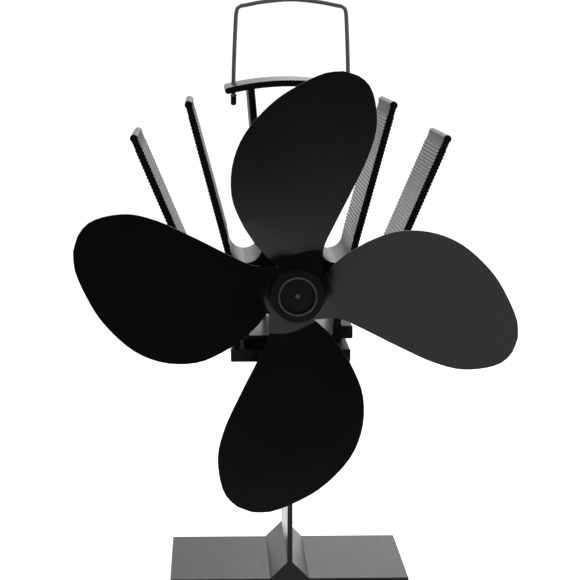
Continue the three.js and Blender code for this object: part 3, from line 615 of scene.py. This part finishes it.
CORE_SHEETS = Finish("Core sheets", grey(0.16), grey(0.34), 0.4, "core_steel", metallic=0.85,
                     grain=Grain.STACKED, grain_scale=320.0, grain_depth=0.00004)
# The coil darkens towards its first colour in the grooves between turns as painted shade, and lightens
# towards its second on the crests as painted highlight
COPPER_COIL = Finish("Enamelled coil", (0.24, 0.07, 0.02), (0.66, 0.25, 0.09), 0.3, "copper", metallic=0.8,
                     grain=Grain.WOUND, grain_scale=560.0, grain_depth=0.00009, coat=0.4)
COPPER_SEGMENT = Finish("Commutator copper", (0.5, 0.2, 0.09), (0.66, 0.3, 0.15), 0.3, "copper", metallic=1.0,
                        grain=Grain.TURNED, grain_scale=6000.0, grain_depth=0.000006)
PRESSED_FIBRE = Finish("Pressed fibre", (0.22, 0.13, 0.06), (0.32, 0.2, 0.1), 0.7, "fibre",
                       grain=Grain.SPECKLED, grain_scale=2600.0, grain_depth=0.00002)
RED_SILICONE = Finish("Red silicone", (0.32, 0.012, 0.012), (0.4, 0.02, 0.018), 0.42, "red_insulation",
                      grain=Grain.MOULDED, grain_scale=3600.0, grain_depth=0.000008)
BLACK_SILICONE = Finish("Black silicone", grey(0.006), grey(0.01), 0.42, "black_insulation",
                        grain=Grain.MOULDED, grain_scale=3600.0, grain_depth=0.000008)
SOLDER = Finish("Solder", grey(0.5), grey(0.62), 0.24, "bright_steel", metallic=1.0,
                grain=Grain.SPECKLED, grain_scale=1500.0, grain_depth=0.00001)


class Wardrobe:
    """Makes each finish's material once and hands it out."""

    made: dict[str, bpy.types.Material] = {}

    @classmethod
    def of(cls, finish: Finish) -> bpy.types.Material:
        """The material of a finish.

        Args:
            finish: The finish.

        Returns:
            Its material.
        """
        if finish.name not in cls.made:
            cls.made[finish.name] = finish.material()
        return cls.made[finish.name]


@dataclass
class Assembly:
    """Common ways of a sub-assembly.

    Attributes:
        body: The CAD body that its pieces ride on.
    """

    body: str

    def dress(self, nodes: Sequence[str], finish: Finish, edge: float = 0.0,
              corner: float = SHARP_ABOVE) -> None:
        """Gives CAD nodes a finish, and softens their edges.

        Args:
            nodes: CAD node names.
            finish: Their finish.
            edge: Width of the softened edge, in metres, or 0 for none.
            corner: Angle above which an edge is softened, in degrees.
        """
        for name in nodes:
            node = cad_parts[name]
            node.data.materials.clear()
            node.data.materials.append(Wardrobe.of(finish))
            for face in node.data.polygons:
                face.material_index = 0
            self.soften(node, edge, corner)
            LOG.info("%s dressed in %s", name, finish.name)

    @staticmethod
    def soften(node: bpy.types.Object, edge: float, corner: float) -> None:
        """Adds modifiers that weld a node's faces, round its sharp edges and smooth the rest.

        Args:
            node: The node's object.
            edge: Width of the rounding, in metres, or 0 for none.
            corner: Angle of a sharp edge, in degrees.
        """
        weld = node.modifiers.new("weld", "WELD")
        weld.merge_threshold = WELD_REACH
        if edge:
            flat = node.modifiers.new("flat", "DECIMATE")
            flat.decimate_type = "DISSOLVE"
            flat.angle_limit = math.radians(FLAT_WITHIN)
            round_off = node.modifiers.new("rounding", "BEVEL")
            round_off.width = edge
            round_off.segments = ROUNDING_SEGMENTS
            round_off.limit_method = "ANGLE"
            round_off.angle_limit = math.radians(corner)
            round_off.use_clamp_overlap = True
            round_off.miter_outer = "MITER_SHARP"
            round_off.harden_normals = False
        split = node.modifiers.new("crisp", "EDGE_SPLIT")
        split.use_edge_sharp = False
        split.split_angle = math.radians(SMOOTH_BELOW)
        even = node.modifiers.new("even shading", "WEIGHTED_NORMAL")
        even.weight = EVEN_WEIGHT

    def piece(self, name: str, mesh: bmesh.types.BMesh, finish: Finish,
              smooth: bool = True) -> bpy.types.Object:
        """Turns a mesh into a piece of the object.

        Args:
            name: The piece's name.
            mesh: Its shape in the row frame, in metres, which is freed.
            finish: Its finish.
            smooth: Whether its faces are shaded smooth.

        Returns:
            The piece.
        """
        bmesh.ops.recalc_face_normals(mesh, faces=mesh.faces)
        data = bpy.data.meshes.new(name)
        mesh.to_mesh(data)
        mesh.free()
        for face in data.polygons:
            face.use_smooth = smooth
        data.materials.append(Wardrobe.of(finish))
        made = bpy.data.objects.new(name, data)
        bpy.context.scene.collection.objects.link(made)
        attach(made, self.body)
        LOG.info("%s built in %s", name, finish.name)
        return made


def loft(mesh: bmesh.types.BMesh, rings: Sequence[Sequence[Vector]], capped: bool = True) -> None:
    """Skins closed rings of equal length into a tube.

    Args:
        mesh: The mesh to add to.
        rings: The rings in order.
        capped: Whether both ends are closed.
    """
    made = [[mesh.verts.new(point) for point in points] for points in rings]
    for low, high in zip(made, made[1:]):
        for i in range(len(low)):
            j = (i + 1) % len(low)
            mesh.faces.new((low[i], low[j], high[j], high[i]))
    if capped:
        mesh.faces.new(list(reversed(made[0])))
        mesh.faces.new(made[-1])


def ring(centre: Vector, across: Vector, upright: Vector, sides: int) -> list[Vector]:
    """Points round an ellipse.

    Args:
        centre: Its middle.
        across: One half axis.
        upright: The other half axis.
        sides: How many points.

    Returns:
        The points.
    """
    turns = (2 * math.pi * i / sides for i in range(sides))
    return [centre + across * math.cos(turn) + upright * math.sin(turn) for turn in turns]


@dataclass
class Stand(Assembly):
    """The stand, the module on it, and the clamp that presses the heat sink down.

    Attributes:
        edge: Width of the stand's softened edges, in metres.
        thin_edge: Width of the module's softened edges.
        thread_pitch: Rise of a clamp screw's thread in one turn.
        thread_height: How far the thread's crest stands out.
        thread_width: Half width of the thread's foot, as a share of the pitch.
        thread_bite: How deep its foot lies in the shank.
        thread_turns: Its turns.
        thread_sides: Steps in one turn.
        shank_share: The shank's radius as a share of the insulator's width.
    """

    edge: float = 0.00025
    thin_edge: float = 0.0001
    thread_pitch: float = 0.0005
    thread_height: float = 0.00012
    thread_width: float = 0.42
    thread_bite: float = 0.00005
    thread_turns: int = 7
    thread_sides: int = 24
    shank_share: float = 0.3

    def build(self) -> None:
        """Dresses the stand's nodes and adds the screws' threads."""
        self.dress(["base_stand"], BLACK_EXTRUSION, self.edge)
        self.dress(["foil_hot_side", "foil_cold_side"], GRAPHITE_FOIL)
        self.dress(["module_hot_ceramic", "module_cold_ceramic"], WHITE_CERAMIC, self.thin_edge)
        self.dress(["module_pellets"], SOLDERED_PELLET)
        self.dress(["module_seal"], EDGE_SEALANT, self.thin_edge)
        for side in ("left", "right"):
            self.dress([f"clamp_screw_{side}"], BLACK_SCREW)
            self.dress([f"clamp_spring_washer_{side}"], BRIGHT_PIN)
            self.dress([f"clamp_insulator_{side}"], PRESSED_FIBRE)
            self.thread(side)

    def thread(self, side: str) -> None:
        """Builds the ridge that winds up a clamp screw where it shows between hot plate and flange.

        Args:
            side: left or right.
        """
        low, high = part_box(f"clamp_screw_{side}")
        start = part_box("base_stand")[1].z + self.thread_pitch
        middle = (low + high) / 2
        sleeve_low, sleeve_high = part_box(f"clamp_insulator_{side}")
        shank = (sleeve_high.x - sleeve_low.x) * self.shank_share
        half_pitch = Vector((0, 0, self.thread_pitch * self.thread_width))
        mesh = bmesh.new()
        rows = []
        for step in range(self.thread_turns * self.thread_sides + 1):
            turn = 2 * math.pi * step / self.thread_sides
            height = start + self.thread_pitch * step / self.thread_sides
            out = Vector((math.cos(turn), math.sin(turn), 0))
            foot = Vector((middle.x, middle.y, height)) + out * (shank - self.thread_bite)
            rows.append([foot - half_pitch, foot + out * self.thread_height, foot + half_pitch])
        loft(mesh, rows)
        self.piece(f"clamp_thread_{side}", mesh, BLACK_SCREW, smooth=False)


@dataclass
class HeatSink(Assembly):
    """The finned heat sink.

    Attributes:
        edge: Width of its softened edges, in metres.
        corner: Angle above which an edge is softened, in degrees.
    """

    edge: float = 0.0002
    corner: float = 55.0

    def build(self) -> None:
        """Dresses the heat sink."""
        self.dress(["heat_sink"], BLACK_EXTRUSION, self.edge, self.corner)


# Stations along a solder joint: place along the tag, half width and half height, in millimetres
SOLDER_STATIONS = ((-2.9, 0.25, 0.3), (-2.5, 0.95, 0.62), (-1.7, 1.3, 0.95), (-0.8, 1.36, 1.14),
                   (0.0, 1.22, 1.2), (0.6, 1.06, 1.12), (1.1, 0.95, 1.0), (1.3, 0.7, 0.75))


@dataclass
class Motor(Assembly):
    """The motor's still parts, its set screw, and the leads soldered to it.

    Attributes:
        solder_sides: Sides of a solder joint's rings.
    """

    solder_sides: int = 18

    def solder(self, side: str) -> None:
        """Builds the bead of solder that runs from a tag onto the end of its lead.

        Args:
            side: left or right.
        """
        low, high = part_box(f"motor_terminal_{side}")
        middle = Vector(((low.x + high.x) / 2, high.y, (low.z + high.z) / 2))
        mesh = bmesh.new()
        rows = []
        for along, wide, tall in SOLDER_STATIONS:
            centre = middle + Vector((0, along * MM, 0))
            rows.append(ring(centre, Vector((wide * MM, 0, 0)), Vector((0, 0, tall * MM)), self.solder_sides))
        loft(mesh, rows)
        self.piece(f"solder_joint_{side}", mesh, SOLDER)

    def build(self) -> None:
        """Dresses the motor and adds its solder joints."""
        self.dress(["motor_can"], BRIGHT_CAN)
        self.dress(["motor_end_cap"], BLACK_MOULDING)
        self.dress(["motor_front_bush", "motor_rear_bush"], BRASS)
        self.dress(["motor_terminal_left", "motor_terminal_right"], BRASS)
        self.dress(["motor_magnet_upper", "motor_magnet_lower"], FERRITE)
        self.dress(["motor_set_screw"], BLACK_SCREW)
        self.dress(["lead_red"], RED_SILICONE)
        self.dress(["lead_black"], BLACK_SILICONE)
        for side in ("left", "right"):
            self.solder(side)


# Section of the bead's skin, glossy as its polished mould left it and lighter than the moulding as a painted
# highlight: place across the bead and height over it, in millimetres
BEAD_SECTION = ((-0.42, -0.12), (-0.34, -0.02), (-0.15, 0.05), (0.15, 0.05), (0.34, -0.02), (0.42, -0.12))


@dataclass
class Rotor(Assembly):
    """What turns: the blades on their hub, and the motor's shaft, core, coils and commutator.

    Attributes:
        bead_radius: Radius of the bead's middle, in metres.
        bead_sides: Steps round the bead.
    """

    bead_radius: float = 7.4 * MM
    bead_sides: int = 96

    def gloss_and_painted_highlight_bead(self) -> None:
        """Builds a skin on the bead round the hub's recess, glossy where the mould was bright and lighter
        than the moulding as a painted highlight.
        """
        low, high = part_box("fan_hub")
        centre = Vector(((low.x + high.x) / 2, low.y, (low.z + high.z) / 2))
        ahead = Vector((0, -MM, 0))
        mesh = bmesh.new()
        rows = []
        for step in range(self.bead_sides + 1):
            turn = 2 * math.pi * (step % self.bead_sides) / self.bead_sides
            out = Vector((math.cos(turn), 0, math.sin(turn)))
            rows.append([centre + out * (self.bead_radius + across * MM) + ahead * proud
                         for across, proud in BEAD_SECTION])
        loft(mesh, rows, capped=False)
        bmesh.ops.remove_doubles(mesh, verts=mesh.verts, dist=SEAM_REACH)
        # The skin carries a painted highlight round the bead
        self.piece("hub_bead_gloss_and_painted_highlight", mesh, BEAD_GLOSS_AND_PAINTED_HIGHLIGHT)

    def build(self) -> None:
        """Dresses the turning nodes."""
        self.dress(["fan_blades"], BLACK_BLADE)
        self.dress(["fan_hub", "fan_hub_collar"], BLACK_MOULDING)
        self.gloss_and_painted_highlight_bead()
        self.dress(["motor_shaft"], BRIGHT_PIN)
        self.dress(["motor_armature"], CORE_SHEETS)
        self.dress(["motor_coil_1", "motor_coil_2", "motor_coil_3"], COPPER_COIL)
        self.dress(["motor_commutator"], COPPER_SEGMENT)


@dataclass
class Handle(Assembly):
    """The carry handle with its stops and rings."""

    def build(self) -> None:
        """Dresses the handle."""
        self.dress(["carry_handle"], BLACK_WIRE)
        self.dress(["handle_stop_left", "handle_stop_right"], STOP_RUBBER)
        self.dress(["handle_ferrule_left", "handle_ferrule_right"], BRIGHT_RING)


@dataclass
class Lamp:
    """One soft lamp.

    Attributes:
        name: Its name.
        place: Where it hangs, in metres.
        aim: What it points at.
        size: Width and height.
        power: Watts.
    """

    name: str
    place: Point
    aim: Point
    size: tuple[float, float]
    power: float

    def hang(self) -> None:
        """Makes the lamp."""
        data = bpy.data.lights.new(self.name, "AREA")
        data.shape = "RECTANGLE"
        data.size, data.size_y = self.size
        data.energy = self.power
        lamp = bpy.data.objects.new(self.name, data)
        lamp.location = self.place
        lamp.visible_glossy = False
        lamp.rotation_euler = (Vector(self.aim) - Vector(self.place)).to_track_quat("-Z", "Y").to_euler()
        bpy.context.scene.collection.objects.link(lamp)


@dataclass(frozen=True)
class Backing:
    """The look of one sheet of the stage: matt, and glowing white to some rays.

    Attributes:
        name: Material name.
        base: Its matt reflectance.
        shown: Strength of its glow towards the camera.
        mirrored: Strength of its glow towards glossy faces and glass.
        roughness: Its roughness.
    """

    name: str
    base: float
    shown: float
    mirrored: float
    roughness: float = 0.9

    def material(self) -> bpy.types.Material:
        """Builds the material.

        Returns:
            The node material.
        """
        made = bpy.data.materials.new(self.name)
        made.use_nodes = True
        board = Board(made.node_tree)
        board.tree.nodes.clear()
        matt = board.add("ShaderNodeBsdfPrincipled")
        matt.inputs["Base Color"].default_value = (self.base, self.base, self.base, 1.0)
        matt.inputs["Roughness"].default_value = self.roughness
        matt.inputs["Specular IOR Level"].default_value = 0.0
        glow = board.add("ShaderNodeEmission")
        rays = board.add("ShaderNodeLightPath")
        bent = board.maths("MAXIMUM", rays.outputs["Is Glossy Ray"], rays.outputs["Is Transmission Ray"])
        board.join(board.maths("MAXIMUM", board.maths("MULTIPLY", rays.outputs["Is Camera Ray"], self.shown),
                               board.maths("MULTIPLY", bent, self.mirrored)), glow.inputs["Strength"])
        both = board.add("ShaderNodeAddShader")
        board.join(matt.outputs[0], both.inputs[0])
        board.join(glow.outputs[0], both.inputs[1])
        board.join(both.outputs[0], board.add("ShaderNodeOutputMaterial").inputs["Surface"])
        return made


FLOOR_NEAR = Backing("floor white", base=0.8, shown=0.85, mirrored=0.16)
FLOOR_BEHIND = Backing("floor behind white", base=0.8, shown=0.93, mirrored=1.15)
WALL_LOW = Backing("wall low white", base=0.3, shown=1.0, mirrored=0.28)
WALL_LEFT = Backing("wall left white", base=0.3, shown=1.0, mirrored=0.9)
WALL_RIGHT = Backing("wall right white", base=0.3, shown=1.0, mirrored=1.35)


@dataclass
class Studio:
    """Camera, floor, back wall, world and lamps.

    Attributes:
        eye: The camera's place, in metres.
        yaw: Degrees to the right.
        pitch: Degrees down.
        roll: Degrees about the line of sight.
        lens: Focal length, in millimetres.
        sensor: Width of the sensor, in millimetres.
        sight: Nearest and farthest point that the camera sees, in metres.
        wall_side: Half width of the back wall, in metres.
        wall_band: Height of its dimmer lower band.
        wall_split: Where its brighter right half begins.
        wall_height: Its height.
        wall_place: How far behind the object it stands.
        floor_front: How far the floor reaches in front of the object.
        floor_seam: Where the brighter floor behind the object begins.
        floor_side: Half width of the floor.
        floor_level: Height of the floor, a hair under the foot.
        world_dim: Strength of the world as a light.
        lamps: The soft lamps.
    """

    eye: Point = (-0.0338, -0.7844, 0.2338)
    yaw: float = 2.541
    pitch: float = 8.299
    roll: float = 0.243
    lens: float = 116.4
    sensor: float = 36.0
    sight: tuple[float, float] = (0.01, 30.0)
    wall_side: float = 4.5
    wall_band: float = 0.34
    wall_split: float = 0.04
    wall_height: float = 2.3
    wall_place: float = 1.8
    floor_front: float = 0.36
    floor_seam: float = 0.04
    floor_side: float = 0.42
    floor_level: float = -0.0002
    world_dim: float = 0.032
    lamps: tuple[Lamp, ...] = (
        Lamp("soft right", (1.1, -0.5, 0.5), (0.0, 0.0, 0.1), (0.8, 0.9), 9.0),
        Lamp("soft above", (0.1, 0.3, 1.3), (0.0, 0.0, 0.1), (1.0, 0.6), 9.0),
        Lamp("soft front", (-0.5, -1.1, 0.6), (0.0, 0.0, 0.12), (0.9, 0.9), 6.0),
    )

    def camera(self) -> None:
        """Makes the camera that sees the object as the photograph does."""
        yaw, pitch, roll = (math.radians(angle) for angle in (self.yaw, self.pitch, self.roll))
        ahead = Vector((math.sin(yaw) * math.cos(pitch), math.cos(yaw) * math.cos(pitch), -math.sin(pitch)))
        level = Vector((math.cos(yaw), -math.sin(yaw), 0))
        above = level.cross(ahead)
        right = level * math.cos(roll) + above * math.sin(roll)
        upward = above * math.cos(roll) - level * math.sin(roll)
        data = bpy.data.cameras.new("view")
        data.lens = self.lens
        data.sensor_width = self.sensor
        data.clip_start, data.clip_end = self.sight
        made = bpy.data.objects.new("view", data)
        turn = Matrix((right, upward, -ahead)).transposed()
        made.matrix_world = Matrix.Translation(Vector(self.eye)) @ turn.to_4x4()
        bpy.context.scene.collection.objects.link(made)
        bpy.context.scene.camera = made

    def sheet(self, name: str, corners: Sequence[Point], backing: Backing) -> None:
        """Makes a flat sheet of the stage.

        Args:
            name: Its name.
            corners: Its four corners.
            backing: Its look.
        """
        data = bpy.data.meshes.new(name)
        data.from_pydata([Vector(c) for c in corners], [], [(0, 1, 2, 3)])
        data.materials.append(backing.material())
        made = bpy.data.objects.new(name, data)
        bpy.context.scene.collection.objects.link(made)

    def floor(self, name: str, near: float, far: float, backing: Backing) -> None:
        """Makes a level sheet under the object, of the floor's full width.

        Args:
            name: Its name.
            near: Where it begins along Y.
            far: Where it ends along Y.
            backing: Its look.
        """
        side, low = self.floor_side, self.floor_level
        corners = ((-side, near, low), (side, near, low), (side, far, low), (-side, far, low))
        self.sheet(name, corners, backing)

    def wall(self, name: str, sides: tuple[float, float], heights: tuple[float, float],
             backing: Backing) -> None:
        """Makes an upright sheet behind the object.

        Args:
            name: Its name.
            sides: Its left and right edge along X.
            heights: Its lower and upper edge.
            backing: Its look.
        """
        (left, right), (low, high), back = sides, heights, self.wall_place
        corners = ((left, back, low), (right, back, low), (right, back, high), (left, back, high))
        self.sheet(name, corners, backing)

    def world(self) -> None:
        """Makes a world that is dim as a light and white where the camera sees it."""
        made = bpy.data.worlds.new("room")
        bpy.context.scene.world = made
        made.use_nodes = True
        board = Board(made.node_tree)
        board.tree.nodes.clear()
        rays = board.add("ShaderNodeLightPath")
        sky = board.add("ShaderNodeBackground")
        sky.inputs["Color"].default_value = (1.0, 1.0, 1.0, 1.0)
        strength = board.maths("MAXIMUM", rays.outputs["Is Camera Ray"], self.world_dim)
        board.join(strength, sky.inputs["Strength"])
        board.join(sky.outputs[0], board.add("ShaderNodeOutputWorld").inputs["Surface"])

    def build(self) -> None:
        """Makes the camera, the stage and the lights."""
        self.camera()
        self.floor("floor", -self.floor_front, self.floor_seam, FLOOR_NEAR)
        self.floor("floor behind", self.floor_seam, self.wall_place, FLOOR_BEHIND)
        whole = (-self.wall_side, self.wall_side)
        upper = (self.wall_band, self.wall_height)
        self.wall("wall low", whole, (self.floor_level, self.wall_band), WALL_LOW)
        self.wall("wall left", (-self.wall_side, self.wall_split), upper, WALL_LEFT)
        self.wall("wall right", (self.wall_split, self.wall_side), upper, WALL_RIGHT)
        self.world()
        for lamp in self.lamps:
            lamp.hang()
        bpy.context.scene.view_settings.view_transform = "Standard"
        LOG.info("studio ready")


@dataclass
class StoveFan:
    """The whole object, sub-assembly by sub-assembly.

    Attributes:
        parts: The sub-assemblies, each with the body that it rides on.
    """

    parts: list[Assembly] = field(default_factory=lambda: [
        Stand("stand"), HeatSink("stand"), Motor("stand"), Rotor("fan"), Handle("handle")])

    def build(self) -> None:
        """Builds every sub-assembly in order."""
        for part in self.parts:
            part.build()


def main() -> None:
    """Builds the studio and the object."""
    logging.basicConfig(level=logging.INFO, format="%(name)s: %(message)s")
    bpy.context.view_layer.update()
    Studio().build()
    StoveFan().build()


if __name__ == "__main__":
    main()
